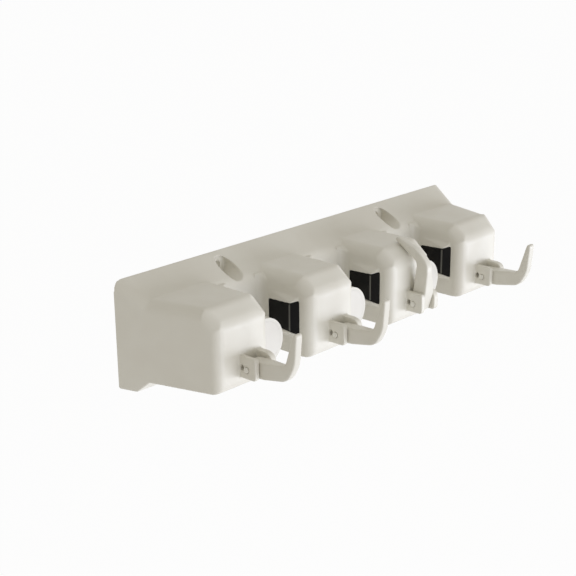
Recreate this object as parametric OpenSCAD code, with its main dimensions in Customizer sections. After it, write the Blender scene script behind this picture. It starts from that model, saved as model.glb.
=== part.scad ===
// Wall rack for long handles: four fingers, three gripping slots between them, a fold-up hook on each finger.
// Millimetres. X runs along the rack, the wall is the plane y = 0, the front looks along -Y, Z is up.
// The origin lies on the wall, midway between the two wall screws.

/* [Rack] */
// Spacing of the fingers along the rack
finger_pitch = 70; // [66:1:80]
// Width of a finger across its front face
finger_w = 38; // [36:0.5:41]
// Depth from the wall to the front faces
body_d = 60; // [57:1:68]
// How far each end spreads from the front to the wall
end_flare = 17.5; // [10:0.5:22]
// Thickness of the moulded walls
wall = 2.6; // [2.2:0.1:3]
// Height of the flat front faces
front_h = 37.4; // [36:0.2:44]
// Depth of the sloped edge above a front face
chamfer_d = 9.7; // [8:0.1:11]
// Height of the sloped edge above a front face
chamfer_h = 8; // [7:0.1:9.5]
// Depth of the slope that rises to the wall
slope_d = 17.4; // [15:0.2:20]
// Height of the slope that rises to the wall
slope_h = 9.6; // [8:0.1:10.5]
// Depth of the band that joins the fingers behind the slots
band_d = 23; // [22:0.5:25]
// How far the rear flange hangs below the fingers
flange_drop = 6.8; // [5:0.2:9]
// Depth of the rear flange at its lower edge
flange_d = 11; // [9:0.5:12]
// Depth at which the underside starts to step down to the flange
foot_d = 19; // [17:0.5:20]
// Radius on the upright front edges
front_r = 6; // [4:0.5:7]
// Radius on the top edges of the fingers and ends
top_r = 7; // [5:0.5:8]
// Radius on the upper and lower edge of the sloped front
slope_edge_r = 9; // [6:0.5:10]
// Radius in the corners between the fingers and the band
slot_r = 5; // [3:0.5:5]

/* [Wall screws] */
// Height of the top edge above the wall screws
screw_drop = 8; // [7:0.5:10]
// Radius of the clearance hole for a wall screw
screw_r = 2.5; // [2:0.1:3]
// Radius of the recess for a wall screw's head
head_r = 5.5; // [4.5:0.1:6]
// Thickness of the floor under a wall screw's head
seat_t = 4; // [3:0.5:6]

/* [Grip cams] */
// Radius of a cam over its soft tread
cam_r = 13.4; // [12.4:0.1:13.6]
// Thickness of the soft tread
tread_t = 1.8; // [1.2:0.1:2.5]
// Distance from the front face back to a cam's front end
cam_setback = 7; // [6.5:0.5:9]
// Gap between a cam at rest and the pad's ridge, the thinnest handle gripped
grip_gap = 12.2; // [11:0.2:15]
// How far a cam's pin lies inside the finger's right side
pivot_in = 6; // [5.5:0.1:6.5]
// Height of a cam's pin above the finger's underside
pivot_h = 10; // [9.5:0.1:12]
// Radius of the cam's hub
cam_hub_r = 4.5; // [4:0.1:5]
// Radius of a cam's pin
cam_pin_r = 1.5; // [1.2:0.1:1.8]
// Thickness of the bracket behind a cam
bracket_t = 3; // [2.5:0.1:3.2]

/* [Grip pads] */
// Height of a pad's face
pad_h = 20; // [17:0.5:21]
// Height of a pad's lower edge above the finger's underside
pad_low = 12; // [11:0.5:13]
// Distance from the front face back to a pad's front edge
pad_setback = 8.7; // [8.5:0.1:11]
// Distance from a pad's front edge back to its ridge
pad_bevel = 4.5; // [3:0.5:6]
// How far the ridge stands out of the finger's wall
ridge_out = 2.7; // [1.5:0.1:2.9]
// Thickness of the flange that holds a pad from inside
pad_flange_t = 1.6; // [1.2:0.1:1.8]

/* [Hooks] */
// Radius of a hook's pin
hook_pin_r = 1.6; // [1.3:0.1:1.8]
// Distance from the front face to a hook's pin
hook_out = 4.9; // [4.8:0.1:6]
// Height of a hook's pin above the finger's underside
hook_h = 11.5; // [10:0.5:13]
// How far the left lug's outer face lies to the left of the finger's centre
lug_left = 4.4; // [2:0.2:6]
// Thickness of the left lug
lug_left_t = 3; // [2.5:0.1:3.5]
// Thickness of the right lug
lug_right_t = 3.8; // [3:0.1:4.5]
// Width of a hook at its hub
hub_w = 8.6; // [7.5:0.1:10]
// Width of a hook at its tip
tip_w = 5.2; // [4.6:0.1:6]
// Thickness of a hook at its tip
tip_t = 2.6; // [2.4:0.1:3.4]
// Forward reach of a hook from its pin
hook_reach = 32.4; // [30:0.2:35]
// Height of a hook's tip above its pin
hook_rise = 26; // [24:0.5:28]

/* [Clearances] */
// Radial clearance of a running pin
run_gap = 0.05; // [0.02:0.01:0.1]
// Clearance between pieces that move past each other
move_gap = 0.3; // [0.25:0.05:0.4]
// Clearance between pieces fitted together
fit_gap = 0.1; // [0.05:0.05:0.2]

/* [Hidden] */
$fn = 64;

plastic = [0.88, 0.87, 0.83];
rubber = [0.07, 0.07, 0.07];
soft_tread = [0.80, 0.79, 0.74];
steel = [0.72, 0.72, 0.74];

finger_count = 4;
arc_steps = 6;
cut_margin = 1;

// Levels, from the top edge down
z_top = screw_drop;
z_plateau = z_top - slope_h;
z_front_top = z_plateau - chamfer_h;
z_bottom = z_front_top - front_h;
z_flange = z_bottom - flange_drop;
slope_angle = atan(slope_h / slope_d);
chamfer_angle = atan(chamfer_h / chamfer_d);
foot_angle = atan(flange_drop / (foot_d - flange_d));
plateau_front = body_d - chamfer_d;

// Half lengths of the rack at its front and at the wall
front_half = (finger_count - 1) / 2 * finger_pitch + finger_w / 2;
back_half = front_half + end_flare;
end_angle = atan(end_flare / body_d);
// Fall of the slope and of the sloped front along the spread ends, and how far these lean across that edge
end_fall = atan(tan(slope_angle) * cos(end_angle));
end_tilt = atan(tan(chamfer_angle) * cos(end_angle));
fall_lean = atan(tan(slope_angle) * sin(end_angle) * cos(end_fall));
tilt_lean = atan(tan(chamfer_angle) * sin(end_angle) * cos(end_tilt));
front_end = plateau_front / cos(end_angle);
screw_x = finger_pitch;
boss_r = head_r + wall;

// Radii of the body's side outline
wall_edge_r = 0.8;
band_edge_r = 8;
under_r = 4;
flange_r = 2;

// Cam sizes that follow from the ones above
cam_z = z_bottom + pivot_h;
// At rest the round face lies just above the finger's floor, which stops the cam
reach_z = wall + move_gap + cam_r - pivot_h;
cam_out = finger_pitch - finger_w - ridge_out - grip_gap;
reach_x = pivot_in + cam_out - cam_r;
pivot_x = finger_w / 2 - pivot_in;
core_r = cam_r - tread_t;
window_gap = 1;
bracket_rear = band_d;
bracket_front = bracket_rear + bracket_t;
cam_rear = bracket_front + window_gap;
cam_front = body_d - cam_setback;
cam_len = cam_front - cam_rear;
window_h = pivot_h + norm([reach_x, reach_z]) + cam_r + 2 * window_gap - wall;
pin_cover = 1;
pin_nose = body_d - wall - pin_cover;
bracket_rim = 1;
bracket_r = 1.5;

// Bracket fixing
post_in = 8.5;
post_x = post_in - finger_w / 2;
post_r = 3.4;
post_low = 6.5;
post_high = 33;
thread_r = 1.4;
thread_len = 9;
screw_head_r = 2.7;
screw_head_t = 1.8;
screw_cross = 3;
screw_cross_w = 0.7;
screw_cross_d = 1;

// Pad frame
pad_z = z_bottom + pad_low;
pad_back = band_d + slot_r + move_gap;
pad_front = body_d - pad_setback;
pad_ridge = pad_front - pad_bevel;
pad_flange_lip = 1.5;
pad_hip = 1.8;
ridge_w = 1.4;
hood_h = 2.5;
sill_h = 2;
hood_angle = 50;

// Lugs
hook_y = -body_d - hook_out;
hook_z = z_bottom + hook_h;
lug_front = hook_out + 6.7;
lug_below = 5.1;
lug_above = 7;
lug_corner_r = 1.8;
lug_round_r = 5;
hub_x = lug_left_t + move_gap - lug_left;
lug_right_x = hub_x + hub_w + move_gap;
heel_gap = 0.4;
hub_r = hook_out - heel_gap;
snap_slot_w = 2;
snap_slot_h = 3.2;
snap_slot_back = 0.6;
snap_slot_up = 0.6;
pin_proud = 0.2;
pin_short = 0.4;

// Hook outline: belly under the arm, outer bend, foot of the tip, throat and neck
belly_y = 8;
belly_r = 14;
bend_y = 25.5;
bend_z = 3.3;
bend_r = 9;
outer_in = 1.5;
outer_z = 8.5;
outer_r = 18;
throat_in = 5.9;
throat_z = 7.2;
throat_r = 4;
neck_y = 8;
neck_z = 4.9;
neck_r = 4;
tip_r = 0.45 * tip_t;
shoulder_y = 9;
shoulder_r = 8;
waist_y = 20;
waist_r = 12;

// A hook folds until its arm nears the front face, its throat an edge of the front slope or its tip the top
fold_gap = 0.3;
low_edge = [hook_out, front_h - hook_h];
high_edge = low_edge + [chamfer_d, chamfer_h];
throat = [-hook_reach + tip_t + throat_in, throat_z];
tip_in = [-hook_reach + tip_t, hook_rise];
throat_dir = (tip_in - throat) / norm(tip_in - throat);
throat_normal = [throat_dir[1], -throat_dir[0]];
throat_turn = atan2(throat_normal[1], throat_normal[0]);
throat_reach = throat_normal * throat + fold_gap;
fold_at_low = acos(throat_reach / norm(low_edge)) - atan2(low_edge[1], low_edge[0]) + throat_turn;
fold_at_high = acos(throat_reach / norm(high_edge)) - atan2(high_edge[1], high_edge[0]) + throat_turn;
fold_at_top = 180 - asin((high_edge[1] + fold_gap) / norm(tip_in)) - atan2(tip_in[1], -tip_in[0]);
neck = [-neck_y, neck_z];
fold_at_face = atan2(neck[1], neck[0]) - acos((hook_out - fold_gap) / norm(neck));
fold_angle = floor(min(fold_at_low, fold_at_high, fold_at_top, fold_at_face));

function finger_x(i) = (i - (finger_count + 1) / 2) * finger_pitch;

// Points of an arc of radius p[2] that rounds corner p between its neighbours a and b
function corner_arc(p, a, b) =
    let (
        q = [p[0], p[1]],
        u = ([a[0], a[1]] - q) / norm([a[0], a[1]] - q),
        v = ([b[0], b[1]] - q) / norm([b[0], b[1]] - q),
        half = acos(u * v) / 2,
        c = q + (u + v) / norm(u + v) * p[2] / sin(half),
        s = q + u * p[2] / tan(half) - c,
        e = q + v * p[2] / tan(half) - c,
        start = atan2(s[1], s[0]),
        turn = (atan2(e[1], e[0]) - start + 540) % 360 - 180
    )
    p[2] == 0 ? [q] : [for (k = [0:arc_steps]) c + p[2] * [cos(start + turn * k / arc_steps),
                                                           sin(start + turn * k / arc_steps)]];

// Outline through points [a, b, radius], each corner rounded by its radius
function rounded(pts) =
    let (n = len(pts))
    [for (i = [0:n - 1]) each corner_arc(pts[i], pts[(i + n - 1) % n], pts[(i + 1) % n])];

// Extrudes an outline of [y, z] along X
module along_x(x0, x1) {
    translate([x0, 0, 0]) rotate([90, 0, 90]) linear_extrude(x1 - x0) children();
}

// Extrudes an outline of [x, z] along Y
module along_y(y0, y1) {
    translate([0, y1, 0]) rotate([90, 0, 0]) linear_extrude(y1 - y0) children();
}

// Extrudes an outline of [x, y] along Z
module along_z(z0, z1) {
    translate([0, 0, z0]) linear_extrude(z1 - z0) children();
}

// Round bar or hole along Y, from y0 to y1
module bar_y(x, z, r, y0, y1) {
    translate([x, y1, z]) rotate([90, 0, 0]) cylinder(r = r, h = y1 - y0);
}

// Round bar or hole along X, from x0 to x1
module bar_x(y, z, r, x0, x1) {
    translate([x0, y, z]) rotate([0, 90, 0]) cylinder(r = r, h = x1 - x0);
}

// Lower edge of the side outlines, from the front bottom to the wall, inset by t
function under_points(t, back) = [
    [-foot_d + t * tan(foot_angle / 2), z_bottom + t, 0],
    [-flange_d + t * tan(foot_angle / 2), z_flange + t, t > 0 ? 0 : flange_r],
    [back, z_flange + t, t > 0 ? 0 : wall_edge_r]
];

// Side outline through a finger, inset by t. The hollow, with t above 0, is open to the wall
function finger_outline(t) =
    let (back = t > 0 ? cut_margin : 0)
    concat([
        [back, z_top + back * tan(slope_angle) - t / cos(slope_angle), t > 0 ? 0 : wall_edge_r],
        [-slope_d + t * tan(slope_angle / 2), z_plateau - t, 0],
        [-plateau_front + t * tan(chamfer_angle / 2), z_plateau - t, slope_edge_r - t],
        [-body_d + t, z_front_top - t * tan(45 - chamfer_angle / 2), slope_edge_r - t],
        [-body_d + t, z_bottom + t, under_r - t]
    ], under_points(t, back));

// Side outline through the band, inset by t, with its front at a depth from the wall
function band_outline(t, depth) =
    let (back = t > 0 ? cut_margin : 0, front = -depth + t)
    concat([
        [back, z_top + back * tan(slope_angle) - t / cos(slope_angle), t > 0 ? 0 : wall_edge_r],
        [front, z_top + front * tan(slope_angle) - t / cos(slope_angle), band_edge_r - t],
        [front, z_bottom + t, t > 0 ? 0 : flange_r]
    ], under_points(t, back));

// Plan outline of the whole rack between its spread ends, inset by t
function rack_plan(t) =
    let (side = t / cos(end_angle), back = t > 0 ? cut_margin : 0, spread = back * tan(end_angle))
    [
        [-back_half - spread + side, back], [-front_half + side, -body_d],
        [front_half - side, -body_d], [back_half + spread - side, back]
    ];

// Plan outline of finger i, inset by t. The outer fingers follow the spread ends
function finger_plan(i, t) =
    let (
        back = t > 0 ? cut_margin : 0,
        left = finger_x(i) - finger_w / 2 + t,
        right = finger_x(i) + finger_w / 2 - t,
        end = front_half - t / cos(end_angle) + t * tan(end_angle),
        end_back = back_half + back * tan(end_angle) - t / cos(end_angle),
        r = front_r - t
    )
    [
        [i == 1 ? -end_back : left, back, 0], [i == 1 ? -end : left, -body_d + t, r],
        [i == finger_count ? end : right, -body_d + t, r], [i == finger_count ? end_back : right, back, 0]
    ];

// Rounds the right-hand top edge of a prism that runs along -Y from the origin, interior below and left
module edge_cut(length, r) {
    rotate([90, 0, 0]) linear_extrude(length) difference() {
        translate([-r, -r]) square(r + cut_margin);
        translate([-r, -r]) circle(r);
    }
}

// Rounds the same edge with flats, where the top rises inwards by an angle, and cuts past both faces
module edge_flats(length, r, lean, out, up) {
    half_step = (90 - lean) / arc_steps / 2;
    reach = out / sin(half_step);
    centre = [-r, -r * (1 - sin(lean)) / cos(lean)];
    arc = [for (k = [0:arc_steps]) centre + r * [cos(2 * half_step * k), sin(2 * half_step * k)]];
    over = arc[arc_steps] + reach * [-cos(lean + half_step), sin(lean + half_step)];
    rotate([90, 0, 0]) linear_extrude(length)
        polygon(concat(arc, [over, [over[0], up], [out, up], [out, centre[1] - reach * cos(half_step)]]));
}

// Rounds the top edge of a finger's right side at x, inset by t
module finger_edge_cut(x, t) {
    slope_len = norm([chamfer_d, chamfer_h]) + cut_margin;
    start = -plateau_front + t * tan(chamfer_angle / 2);
    translate([x - t, -slope_d, z_plateau - t]) edge_cut(-start - slope_d, top_r - t);
    translate([x - t, start, z_plateau - t]) rotate([chamfer_angle, 0, 0]) edge_cut(slope_len, top_r - t);
}

// Cut of the right end's top edge, inset by t: 0 along the slope and the top, 1 down the sloped front
module end_edge_cut(t, part) {
    r = top_r - t;
    back = 2 * cut_margin;
    translate([back_half - t / cos(end_angle), 0, 0]) rotate([0, 0, -end_angle]) {
        if (part == 0) intersection() {
            translate([0, back, z_top - t / cos(slope_angle) + back * tan(end_fall)])
                rotate([end_fall, 0, 0]) edge_flats(body_d / cos(end_fall), r, fall_lean, cut_margin, body_d);
            translate([0, back, z_plateau - t]) edge_flats(front_end + back, r, 0, back, body_d);
        }
        if (part == 1)
            translate([0, wall - front_end, z_plateau - t / cos(chamfer_angle) + wall * tan(end_tilt)])
                rotate([end_tilt, 0, 0])
                    edge_flats((chamfer_d + 2 * wall) / cos(end_tilt), r, tilt_lean, cut_margin, body_d);
    }
}

// Rounds the top edges of both ends of what it is given, inset by t, one cut after the other
module ends_rounded(t) {
    difference() {
        difference() {
            children();
            end_edge_cut(t, 0);
            mirror([1, 0, 0]) end_edge_cut(t, 0);
        }
        end_edge_cut(t, 1);
        mirror([1, 0, 0]) end_edge_cut(t, 1);
    }
}

// Fillet in the corner between the band and a finger's right side at x
module slot_corner(x) {
    intersection() {
        along_x(x - cut_margin, x + slot_r) polygon(rounded(band_outline(0, band_d + slot_r)));
        along_z(z_flange, z_top) difference() {
            translate([x - cut_margin, -band_d - slot_r]) square([slot_r + cut_margin, slot_r + cut_margin]);
            translate([x + slot_r, -band_d - slot_r]) circle(slot_r);
        }
    }
}

module rack_outside() {
    intersection() {
        along_x(-back_half, back_half) polygon(rounded(band_outline(0, band_d)));
        along_z(z_flange, z_top) polygon(rack_plan(0));
    }
    for (i = [1:finger_count]) {
        difference() {
            intersection() {
                along_x(-back_half, back_half) polygon(rounded(finger_outline(0)));
                along_z(z_flange, z_top) polygon(rounded(finger_plan(i, 0)));
            }
            if (i < finger_count) finger_edge_cut(finger_x(i) + finger_w / 2, 0);
            if (i > 1) mirror([1, 0, 0]) finger_edge_cut(-finger_x(i) + finger_w / 2, 0);
        }
        if (i < finger_count) slot_corner(finger_x(i) + finger_w / 2);
        if (i > 1) mirror([1, 0, 0]) slot_corner(-finger_x(i) + finger_w / 2);
    }
}

module rack_hollow() {
    intersection() {
        along_x(-back_half, back_half) polygon(rounded(band_outline(wall, band_d)));
        along_z(z_flange, z_top) polygon(rack_plan(wall));
    }
    for (i = [1:finger_count]) difference() {
        intersection() {
            along_x(-back_half - cut_margin, back_half + cut_margin) polygon(rounded(finger_outline(wall)));
            along_z(z_flange, z_top) polygon(rounded(finger_plan(i, wall)));
        }
        if (i < finger_count) finger_edge_cut(finger_x(i) + finger_w / 2, wall);
        if (i > 1) mirror([1, 0, 0]) finger_edge_cut(-finger_x(i) + finger_w / 2, wall);
    }
}

// Boss that carries a wall screw, trimmed to the band
module screw_boss(x) {
    intersection() {
        along_x(x - boss_r, x + boss_r) polygon(rounded(band_outline(0, band_d)));
        bar_y(x, 0, boss_r, -band_d, 0);
    }
}

// Posts for the bracket's screws and the boss for the cam's pin, inside finger i
module cam_posts(i) {
    for (h = [post_low, post_high])
        bar_y(finger_x(i) + post_x, z_bottom + h, post_r, -body_d + wall / 2, -bracket_front);
    bar_y(finger_x(i) + pivot_x, cam_z, cam_hub_r, -body_d + wall / 2, -cam_front - window_gap);
}

module cam_post_holes(i) {
    for (h = [post_low, post_high])
        bar_y(finger_x(i) + post_x, z_bottom + h, thread_r + run_gap, -bracket_front - thread_len, 0);
    bar_y(finger_x(i) + pivot_x, cam_z, cam_pin_r + run_gap, -pin_nose, -bracket_front);
}

// Window in a finger's right wall, through which the cam reaches into the slot
module cam_window(i) {
    x = finger_x(i) + finger_w / 2 - wall - cut_margin;
    translate([x, -cam_front - window_gap, z_bottom + wall])
        cube([wall + cut_margin + slot_r + cut_margin, cam_len + 2 * window_gap, window_h]);
}

// Plan outline of a pad's proud face on a wall at x, with the slot on its left and its inner side at a depth
function pad_plan(x, depth) = [
    [x + depth, -pad_back], [x, -pad_back],
    [x - ridge_out, -pad_ridge + ridge_w / 2], [x - ridge_out, -pad_ridge - ridge_w / 2],
    [x, -pad_front], [x + depth, -pad_front]
];

// Side outline of a pad in [y, z], tapering from its front edge back, grown by g and lengthened by e
function pad_side(g, e) =
    let (
        top = pad_z + pad_h + g,
        low = pad_z - g,
        front_rise = pad_hip / pad_bevel * e,
        back_fall = pad_hip / (pad_ridge - pad_back) * e
    )
    [
        [-pad_front - e, low - front_rise], [-pad_ridge, low + pad_hip], [-pad_back + e, low + pad_hip],
        [-pad_back + e, top - 2 * pad_hip - back_fall], [-pad_ridge, top - pad_hip],
        [-pad_front - e, top + front_rise]
    ];

// Raised surround of a pad, whose hood above and sill below follow the ridge and slope to the wall
module pad_surround(i) {
    x = finger_x(i + 1) - finger_w / 2;
    top = pad_z + pad_h + hood_h;
    low = pad_z - sill_h;
    proud = ridge_out + cut_margin;
    intersection() {
        along_z(low - cut_margin, top + cut_margin) polygon(pad_plan(x, wall / 2));
        along_y(-body_d, 0) polygon([
            [x - proud, low + proud * tan(hood_angle)], [x, low], [x + wall, low],
            [x + wall, top], [x, top], [x - proud, top - proud * tan(hood_angle)]
        ]);
    }
}

module pad_window(i) {
    x = finger_x(i + 1) - finger_w / 2;
    along_x(x - ridge_out - cut_margin, x + wall + cut_margin) polygon(pad_side(fit_gap, fit_gap));
}

// Plate of a lug, with its two front corners rounded
module lug(x, t, top_front_r) {
    along_x(x, x + t) polygon(rounded([
        [-body_d + wall / 2, hook_z + lug_above, 0], [-body_d - lug_front, hook_z + lug_above, top_front_r],
        [-body_d - lug_front, hook_z - lug_below, lug_corner_r], [-body_d + wall / 2, hook_z - lug_below, 0]
    ]));
}

module hook_lugs(i) {
    difference() {
        union() {
            lug(finger_x(i) - lug_left, lug_left_t, lug_corner_r);
            lug(finger_x(i) + lug_right_x, lug_right_t, lug_round_r);
        }
        bar_x(hook_y, hook_z, hook_pin_r + run_gap, finger_x(i) - lug_left - cut_margin,
              finger_x(i) + lug_right_x + lug_right_t + cut_margin);
        translate([finger_x(i) - lug_left - cut_margin, -body_d - snap_slot_back - snap_slot_w,
                   hook_z - snap_slot_h / 2 + snap_slot_up])
            cube([lug_left_t + 2 * cut_margin, snap_slot_w, snap_slot_h]);
    }
}

module rack_body() {
    color(plastic) {
        difference() {
            ends_rounded(0) union() {
                difference() {
                    rack_outside();
                    ends_rounded(wall) rack_hollow();
                }
                for (side = [-1, 1]) screw_boss(side * screw_x);
                for (i = [1:finger_count - 1]) {
                    cam_posts(i);
                    pad_surround(i);
                }
                for (i = [1:finger_count]) hook_lugs(i);
            }
            for (side = [-1, 1]) {
                bar_y(side * screw_x, 0, head_r, -body_d, -seat_t);
                bar_y(side * screw_x, 0, screw_r, -body_d, cut_margin);
            }
            for (i = [1:finger_count - 1]) {
                cam_window(i);
                cam_post_holes(i);
                pad_window(i);
            }
        }
    }
}

// Rubber pad on the left wall of finger i + 1, held by its flange behind the wall
module grip_pad(i) {
    x = finger_x(i + 1) - finger_w / 2;
    depth = wall + fit_gap + pad_flange_t;
    color(rubber) {
        intersection() {
            along_z(pad_z - cut_margin, pad_z + pad_h + cut_margin) polygon(pad_plan(x, depth));
            along_x(x - ridge_out - cut_margin, x + depth + cut_margin) polygon(pad_side(0, cut_margin));
        }
        translate([x + wall + fit_gap, -pad_front - pad_flange_lip, pad_z - pad_flange_lip])
            cube([pad_flange_t, pad_front - pad_back + 2 * pad_flange_lip, pad_h + 2 * pad_flange_lip]);
    }
}

// Web from the hub to the round core, in the outline of [x, z] about the pin, grown by g
module cam_web(g) {
    rotate(atan2(reach_z, reach_x)) translate([0, -cam_hub_r - g])
        square([norm([reach_x, reach_z]), 2 * (cam_hub_r + g)]);
}

// Places a cam outline about its pin in finger i, over the cam's length
module on_cam(i) {
    translate([finger_x(i) + pivot_x, 0, cam_z]) along_y(-cam_front, -cam_rear) children();
}

module grip_cam(i) {
    color(plastic) difference() {
        union() {
            on_cam(i) circle(cam_hub_r);
            on_cam(i) cam_web(0);
            on_cam(i) translate([reach_x, reach_z]) circle(core_r);
        }
        bar_y(finger_x(i) + pivot_x, cam_z, cam_pin_r + run_gap,
            -cam_front - cut_margin, -cam_rear + cut_margin);
    }
}

// Soft band round the cam, open where the hub's web passes
module cam_tread(i) {
    color(soft_tread) difference() {
        on_cam(i) translate([reach_x, reach_z]) circle(cam_r);
        bar_y(finger_x(i) + pivot_x + reach_x, cam_z + reach_z, core_r + run_gap, -body_d, 0);
        translate([finger_x(i) + pivot_x, 0, cam_z]) along_y(-body_d, 0) {
            circle(cam_hub_r + fit_gap);
            cam_web(fit_gap);
        }
    }
}

module cam_pin(i) {
    color(steel) bar_y(finger_x(i) + pivot_x, cam_z, cam_pin_r, -pin_nose + fit_gap, -bracket_rear);
}

// Plate across the back of finger i that carries the rear end of the cam's pin
module cam_bracket(i) {
    half = finger_w / 2 - wall - move_gap;
    low = z_bottom + wall + fit_gap;
    high = z_bottom + post_high + post_r + bracket_rim;
    color(plastic) difference() {
        along_y(-bracket_front + fit_gap, -bracket_rear) polygon(rounded([
            [finger_x(i) - half, low, bracket_r], [finger_x(i) + half, low, bracket_r],
            [finger_x(i) + half, cam_z + cam_hub_r + bracket_rim, 2 * bracket_r],
            [finger_x(i) + post_x + post_r + bracket_rim, high, 2 * bracket_r],
            [finger_x(i) - half, high, bracket_r]
        ]));
        bar_y(finger_x(i) + pivot_x, cam_z, cam_pin_r + run_gap, -body_d, 0);
        for (h = [post_low, post_high])
            bar_y(finger_x(i) + post_x, z_bottom + h, thread_r + fit_gap, -body_d, 0);
    }
}

module bracket_screws() {
    color(steel) for (i = [1:finger_count - 1]) for (h = [post_low, post_high]) {
        x = finger_x(i) + post_x;
        z = z_bottom + h;
        bar_y(x, z, thread_r, -bracket_front - thread_len + screw_cross_d, -bracket_rear);
        difference() {
            bar_y(x, z, screw_head_r, -bracket_rear, -bracket_rear + screw_head_t);
            for (turn = [0, 90]) translate([x, -bracket_rear + screw_head_t, z]) rotate([0, turn, 0])
                cube([screw_cross, 2 * screw_cross_d, screw_cross_w], center = true);
        }
    }
}

// Side outline of a hook about its pin: y forward is negative, z up
function hook_outline() = [
    [hub_r, -hub_r, lug_corner_r], [-belly_y, -hub_r, belly_r], [-bend_y, -hub_r + bend_z, bend_r],
    [-hook_reach + outer_in, outer_z, outer_r], [-hook_reach, hook_rise, tip_r],
    [-hook_reach + tip_t, hook_rise, tip_r], [throat[0], throat[1], throat_r], [neck[0], neck[1], neck_r],
    [0, hub_r, 0], [0, 0, 0], [hub_r, 0, 0]
];

// Hook i about its pin's axis, folded up by an angle
module hook(i, folded) {
    mid = finger_x(i) + hub_x + hub_w / 2;
    color(plastic) translate([mid, hook_y, hook_z]) rotate([-folded, 0, 0]) difference() {
        intersection() {
            union() {
                along_x(-hub_w / 2, hub_w / 2) polygon(rounded(hook_outline()));
                bar_x(0, 0, hub_r, -hub_w / 2, hub_w / 2);
            }
            along_z(-hub_r - cut_margin, hook_rise + cut_margin) polygon(rounded([
                [-hub_w / 2, hub_r + cut_margin, 0], [-hub_w / 2, -hook_reach - cut_margin, 0],
                [-hub_w / 2 + tip_w, -hook_reach - cut_margin, 0], [-hub_w / 2 + tip_w, -waist_y, waist_r],
                [hub_w / 2, -shoulder_y, shoulder_r], [hub_w / 2, hub_r + cut_margin, 0]
            ]));
        }
        bar_x(0, 0, hook_pin_r + run_gap, -hub_w / 2 - cut_margin, hub_w / 2 + cut_margin);
    }
}

module hook_pin(i) {
    color(plastic) bar_x(hook_y, hook_z, hook_pin_r, finger_x(i) - lug_left - pin_proud,
                         finger_x(i) + lug_right_x + lug_right_t - pin_short);
}

rack_body();
for (i = [1:finger_count - 1]) {
    grip_pad(i);
    grip_cam(i);
    cam_tread(i);
    cam_pin(i);
    cam_bracket(i);
}
bracket_screws();
for (i = [1:finger_count]) {
    hook(i, i == 3 ? fold_angle : 0);
    hook_pin(i);
}
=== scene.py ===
"""Looks of the wall rack: softened mouldings, procedural finishes, studio light and camera."""
import math

import bpy
from mathutils import Matrix, Vector


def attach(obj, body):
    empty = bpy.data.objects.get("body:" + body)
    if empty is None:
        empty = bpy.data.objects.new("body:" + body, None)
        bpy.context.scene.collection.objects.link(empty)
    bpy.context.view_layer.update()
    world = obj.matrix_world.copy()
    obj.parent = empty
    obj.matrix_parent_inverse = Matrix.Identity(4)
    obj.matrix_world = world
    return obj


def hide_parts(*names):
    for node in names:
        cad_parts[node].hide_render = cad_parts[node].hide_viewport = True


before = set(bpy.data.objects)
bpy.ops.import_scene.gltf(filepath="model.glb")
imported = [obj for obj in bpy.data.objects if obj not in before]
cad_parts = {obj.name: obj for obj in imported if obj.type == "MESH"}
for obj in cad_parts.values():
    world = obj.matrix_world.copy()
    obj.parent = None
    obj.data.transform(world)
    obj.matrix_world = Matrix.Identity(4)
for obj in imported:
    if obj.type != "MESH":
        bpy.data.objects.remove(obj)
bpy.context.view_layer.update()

HOOKS = (1, 2, 3, 4)
SLOTS = (1, 2, 3)

# Camera fitted to the photograph: image measures in pixels, angles in degrees, place in metres
IMAGE_SIZE = 576
FOCAL_PX = 1277.7
AXIS_PX = (264.2, 299.6)
YAW, PITCH, ROLL = 45.79, 18.67, -1.0
CAMERA_AT = Vector((-0.5424, -0.500, 0.2103))
SENSOR_MM = 36.0
CLIP_START = 0.01

# Light: one wide, faintly cool strip lamp in a faintly warm room, in metres and watts
LAMP_AT = Vector((1.6, -3.4, -0.75))
LAMP_TARGET = Vector((0.0, 0.0, -0.03))
LAMP_WIDTH, LAMP_HEIGHT = 5.0, 1.0
LAMP_WATTS = 112.0
LAMP_TINT = (0.94, 0.98, 1.12)
AMBIENT = 0.59
AMBIENT_TINT = (1.0, 0.975, 0.92, 1.0)

# Floor: its height and half its width in metres, and the share of plain white in how it looks
FLOOR_LEVEL = -2.0
FLOOR_HALF = 80.0
FLOOR_WHITE = 0.95

# How bright the sky looks: as bright as the far floor, so that no horizon shows
SKY_SEEN = 0.978
WHITE = (1.0, 1.0, 1.0, 1.0)

# Softening of each moulding: voxel in metres, rounds of smoothing, share of the faces kept
BODY_SOFTENING = (0.0005, 4, 0.14)
HOOK_SOFTENING = (0.0004, 36, 0.35)
PAD_SOFTENING = (0.0003, 3, 0.4)
SMOOTHING = 0.5

# Direction that the ridge of each pad faces, into its slot; faces turned this way get a painted highlight
INTO_SLOT = (-1.0, 0.0, 0.0)


def srgb(r, g, b):
    """Linear colour of an sRGB colour given in 0 to 255, with alpha 1."""
    def linear(v):
        v /= 255
        return v / 12.92 if v <= 0.04045 else ((v + 0.055) / 1.055) ** 2.4
    return (linear(r), linear(g), linear(b), 1.0)


# Shader helpers

def new_material(name):
    """A material with a plain Principled shader, its node tree and that shader."""
    mat = bpy.data.materials.new(name)
    mat.use_nodes = True
    return mat, mat.node_tree, mat.node_tree.nodes["Principled BSDF"]


def add(tree, kind, **values):
    """A shader node with some of its input sockets or properties set by name."""
    made = tree.nodes.new(kind)
    for key, value in values.items():
        name = key.replace("_", " ")
        if name in made.inputs:
            made.inputs[name].default_value = value
        else:
            setattr(made, key, value)
    return made


def noise(tree, scale, detail=4.0):
    """Noise in the object's own metres."""
    coords = add(tree, "ShaderNodeTexCoord")
    made = add(tree, "ShaderNodeTexNoise", Scale=scale, Detail=detail, Roughness=0.55)
    tree.links.new(coords.outputs["Object"], made.inputs["Vector"])
    return made.outputs["Fac"]


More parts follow.
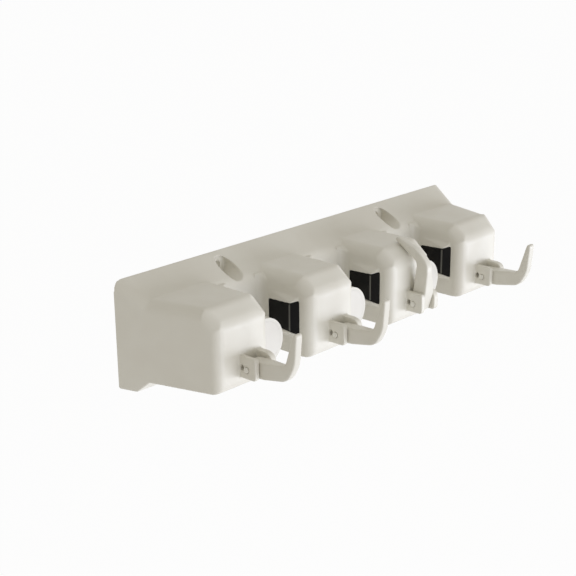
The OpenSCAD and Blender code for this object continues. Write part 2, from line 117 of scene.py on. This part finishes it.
def ramp(tree, value, low, high, to_low=0.0, to_high=1.0):
    """Maps a value from one range to another, clamped."""
    made = tree.nodes.new("ShaderNodeMapRange")
    for index, number in enumerate((low, high, to_low, to_high)):
        made.inputs[index + 1].default_value = number
    tree.links.new(value, made.inputs[0])
    return made.outputs[0]


def blend_colours(tree, factor, one, other):
    """Mixes two colours, each a colour or a socket, by a factor socket."""
    made = add(tree, "ShaderNodeMix", data_type="RGBA")
    tree.links.new(factor, made.inputs[0])
    for socket, colour in ((made.inputs[6], one), (made.inputs[7], other)):
        if isinstance(colour, tuple):
            socket.default_value = colour
        else:
            tree.links.new(colour, socket)
    return made.outputs[2]


def bump(tree, height, strength, distance, normal=None):
    """Bump from a height socket, on top of another bump if given."""
    made = add(tree, "ShaderNodeBump", Strength=strength, Distance=distance)
    tree.links.new(height, made.inputs["Height"])
    if normal is not None:
        tree.links.new(normal, made.inputs["Normal"])
    return made.outputs["Normal"]


# Finishes

def moulded_plastic(name, base, flow, edge_highlight, roughness, grain):
    """Satin moulded plastic: a base colour with faint flow marks, a painted highlight along the convex edges
    and a soft grain.
    """
    mat, tree, shader = new_material(name)
    marks = ramp(tree, noise(tree, scale=26.0, detail=3.0), low=0.35, high=0.65)
    colour = blend_colours(tree, marks, base, flow)
    edges = add(tree, "ShaderNodeNewGeometry").outputs["Pointiness"]
    # Painted highlight: convex edges, found by Pointiness, are mixed towards a paler colour
    edge_highlight_mask = ramp(tree, edges, low=0.53, high=0.62, to_high=0.55)
    colour = blend_colours(tree, edge_highlight_mask, colour, edge_highlight)
    tree.links.new(colour, shader.inputs["Base Color"])
    smears = noise(tree, scale=70.0, detail=5.0)
    gloss = ramp(tree, smears, low=0.3, high=0.7, to_low=roughness - 0.05, to_high=roughness + 0.07)
    tree.links.new(gloss, shader.inputs["Roughness"])
    fine = bump(tree, noise(tree, scale=2600.0, detail=2.0), strength=0.10 * grain, distance=0.0002)
    waves = noise(tree, scale=160.0, detail=2.0)
    soft = bump(tree, waves, strength=0.05 * grain, distance=0.0008, normal=fine)
    tree.links.new(soft, shader.inputs["Normal"])
    shader.inputs["Specular IOR Level"].default_value = 0.45
    return mat


def black_rubber(name):
    """Matt black rubber with a dusty bloom, a painted grey highlight along the ridge and a fine tooth."""
    mat, tree, shader = new_material(name)
    bloom = ramp(tree, noise(tree, scale=55.0, detail=6.0), low=0.45, high=0.75)
    colour = blend_colours(tree, bloom, srgb(12, 11, 10), srgb(24, 22, 19))
    facing = add(tree, "ShaderNodeVectorMath", operation="DOT_PRODUCT")
    facing.inputs[1].default_value = INTO_SLOT
    tree.links.new(add(tree, "ShaderNodeTexCoord").outputs["Normal"], facing.inputs[0])
    # Painted highlight: faces turned into the slot, along the pad's ridge, are mixed towards grey
    ridge = ramp(tree, facing.outputs["Value"], low=0.993, high=0.998)
    colour = blend_colours(tree, ridge, colour, srgb(104, 103, 98))
    tree.links.new(colour, shader.inputs["Base Color"])
    gloss = ramp(tree, noise(tree, scale=90.0), low=0.3, high=0.7, to_low=0.5, to_high=0.65)
    tree.links.new(gloss, shader.inputs["Roughness"])
    tooth = bump(tree, noise(tree, scale=3200.0, detail=2.0), strength=0.25, distance=0.0003)
    tree.links.new(tooth, shader.inputs["Normal"])
    shader.inputs["Specular IOR Level"].default_value = 0.15
    return mat


def plated_steel(name):
    """Zinc-plated steel with faint spots and a fine grain."""
    mat, tree, shader = new_material(name)
    spots = ramp(tree, noise(tree, scale=240.0, detail=6.0), low=0.3, high=0.7)
    colour = blend_colours(tree, spots, srgb(196, 197, 200), srgb(168, 168, 170))
    tree.links.new(colour, shader.inputs["Base Color"])
    gloss = ramp(tree, noise(tree, scale=400.0), low=0.3, high=0.7, to_low=0.24, to_high=0.42)
    tree.links.new(gloss, shader.inputs["Roughness"])
    grain = bump(tree, noise(tree, scale=1800.0, detail=2.0), strength=0.12, distance=0.0002)
    tree.links.new(grain, shader.inputs["Normal"])
    shader.inputs["Metallic"].default_value = 1.0
    return mat


PLASTIC = moulded_plastic("moulded_plastic", base=srgb(222, 219, 208), flow=srgb(217, 213, 201),
                          edge_highlight=srgb(232, 230, 222), roughness=0.42, grain=1.0)
HOOK_PLASTIC = moulded_plastic("hook_plastic", base=srgb(220, 217, 206), flow=srgb(214, 210, 198),
                               edge_highlight=srgb(232, 230, 222), roughness=0.38, grain=0.8)
# The cams' plastic is the body's plastic painted darker: painted shade, to keep the cams as dim as the finger
# fronts
SHADED_CAM_PLASTIC = moulded_plastic("cam_plastic_painted_shade", base=srgb(207, 203, 194), flow=srgb(202, 198, 188),
                              edge_highlight=srgb(219, 216, 208), roughness=0.45, grain=0.8)
TREAD = moulded_plastic("soft_tread", base=srgb(214, 211, 201), flow=srgb(206, 203, 192),
                        edge_highlight=srgb(222, 220, 212), roughness=0.62, grain=2.0)
RUBBER = black_rubber("black_rubber")
STEEL = plated_steel("plated_steel")


# Pieces

def show(piece, body, node, material):
    """Puts a new piece on its body in place of a CAD node, with its finish."""
    piece.data.materials.clear()
    piece.data.materials.append(material)
    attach(piece, body)
    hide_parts(node)


def softened(node, name, softening):
    """A copy of a CAD node with its edges rounded over, as a moulding has them."""
    voxel, rounds, kept = softening
    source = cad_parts[node]
    piece = bpy.data.objects.new(name, source.data.copy())
    piece.matrix_world = source.matrix_world
    bpy.context.scene.collection.objects.link(piece)
    skin = piece.modifiers.new("skin", "REMESH")
    skin.mode = "VOXEL"
    skin.voxel_size = voxel
    ease = piece.modifiers.new("ease", "SMOOTH")
    ease.factor = SMOOTHING
    ease.iterations = rounds
    thin = piece.modifiers.new("thin", "DECIMATE")
    thin.ratio = kept
    bpy.context.view_layer.update()
    graph = bpy.context.evaluated_depsgraph_get()
    done = bpy.data.meshes.new_from_object(piece.evaluated_get(graph))
    piece.modifiers.clear()
    piece.data = done
    for face in done.polygons:
        face.use_smooth = True
    return piece


def finish_node(node, material):
    """Gives a CAD node that stays its finish."""
    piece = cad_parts[node]
    piece.data.materials.clear()
    piece.data.materials.append(material)


def build_pieces():
    """All the pieces that show."""
    body = softened("rack_body", "rack_moulding", BODY_SOFTENING)
    show(body, "rack", "rack_body", PLASTIC)
    for i in HOOKS:
        hook = softened(f"hook_{i}", f"hook_moulding_{i}", HOOK_SOFTENING)
        show(hook, f"hook_arm_{i}", f"hook_{i}", HOOK_PLASTIC)
        finish_node(f"hook_pin_{i}", HOOK_PLASTIC)
    for i in SLOTS:
        pad = softened(f"grip_pad_{i}", f"pad_moulding_{i}", PAD_SOFTENING)
        show(pad, "rack", f"grip_pad_{i}", RUBBER)
        finish_node(f"grip_cam_{i}", SHADED_CAM_PLASTIC)
        finish_node(f"cam_tread_{i}", TREAD)
        finish_node(f"cam_pin_{i}", STEEL)
        finish_node(f"cam_bracket_{i}", PLASTIC)
    finish_node("bracket_screws", STEEL)


# Stage

def add_camera():
    """The camera where the photograph was taken from, with the photograph's framing."""
    yaw, pitch, roll = (math.radians(angle) for angle in (YAW, PITCH, ROLL))
    ahead = Vector((math.sin(yaw) * math.cos(pitch), math.cos(yaw) * math.cos(pitch), -math.sin(pitch)))
    level = Vector((math.cos(yaw), -math.sin(yaw), 0.0))
    lift = level.cross(ahead)
    right = level * math.cos(roll) + lift * math.sin(roll)
    up = lift * math.cos(roll) - level * math.sin(roll)
    data = bpy.data.cameras.new("camera")
    data.sensor_width = SENSOR_MM
    data.lens = FOCAL_PX / IMAGE_SIZE * SENSOR_MM
    data.shift_x = (IMAGE_SIZE / 2 - AXIS_PX[0]) / IMAGE_SIZE
    data.shift_y = (AXIS_PX[1] - IMAGE_SIZE / 2) / IMAGE_SIZE
    data.clip_start = CLIP_START
    camera = bpy.data.objects.new("camera", data)
    turn = Matrix((right, up, -ahead)).transposed().to_4x4()
    camera.matrix_world = Matrix.Translation(CAMERA_AT) @ turn
    bpy.context.scene.collection.objects.link(camera)
    bpy.context.scene.camera = camera


def add_lamp():
    """The strip lamp in front of the rack, low and to the right, facing it."""
    data = bpy.data.lights.new("key", "AREA")
    data.shape = "RECTANGLE"
    data.size, data.size_y = LAMP_WIDTH, LAMP_HEIGHT
    data.energy = LAMP_WATTS
    data.color = LAMP_TINT
    lamp = bpy.data.objects.new("key", data)
    lamp.location = LAMP_AT
    lamp.rotation_euler = (LAMP_TARGET - LAMP_AT).to_track_quat("-Z", "Y").to_euler()
    bpy.context.scene.collection.objects.link(lamp)


def seen_directly(tree):
    """1 for what the camera, a reflection or a refraction sees, 0 for what only lights the object."""
    path = add(tree, "ShaderNodeLightPath")
    seen = path.outputs["Is Camera Ray"]
    for kind in ("Is Glossy Ray", "Is Transmission Ray"):
        either = add(tree, "ShaderNodeMath", operation="MAXIMUM")
        tree.links.new(seen, either.inputs[0])
        tree.links.new(path.outputs[kind], either.inputs[1])
        seen = either.outputs[0]
    return seen


def add_floor():
    """A wide pale floor below the rack, near white to the camera and still taking the rack's shadow."""
    corners = [(x * FLOOR_HALF, y * FLOOR_HALF, FLOOR_LEVEL) for x, y in ((-1, -1), (1, -1), (1, 1), (-1, 1))]
    mesh = bpy.data.meshes.new("floor")
    mesh.from_pydata(corners, [], [(0, 1, 2, 3)])
    floor = bpy.data.objects.new("floor", mesh)
    mat, tree, shader = new_material("floor")
    shader.inputs["Base Color"].default_value = srgb(246, 246, 246)
    shader.inputs["Roughness"].default_value = 0.9
    glow = add(tree, "ShaderNodeEmission", Strength=1.0)
    mix = add(tree, "ShaderNodeMixShader")
    share = ramp(tree, seen_directly(tree), low=0.0, high=1.0, to_high=FLOOR_WHITE)
    tree.links.new(share, mix.inputs[0])
    tree.links.new(shader.outputs[0], mix.inputs[1])
    tree.links.new(glow.outputs[0], mix.inputs[2])
    tree.links.new(mix.outputs[0], tree.nodes["Material Output"].inputs["Surface"])
    mesh.materials.append(mat)
    bpy.context.scene.collection.objects.link(floor)


def set_world():
    """Near white to the camera and to reflections, soft even light on the object."""
    world = bpy.data.worlds.new("studio")
    bpy.context.scene.world = world
    world.use_nodes = True
    tree = world.node_tree
    sky = tree.nodes["Background"]
    seen = seen_directly(tree)
    tree.links.new(blend_colours(tree, seen, AMBIENT_TINT, WHITE), sky.inputs["Color"])
    strength = ramp(tree, seen, low=0.0, high=1.0, to_low=AMBIENT, to_high=SKY_SEEN)
    tree.links.new(strength, sky.inputs["Strength"])


build_pieces()
add_camera()
add_floor()
add_lamp()
set_world()
bpy.context.scene.view_settings.view_transform = "Standard"

bpy.context.view_layer.update()
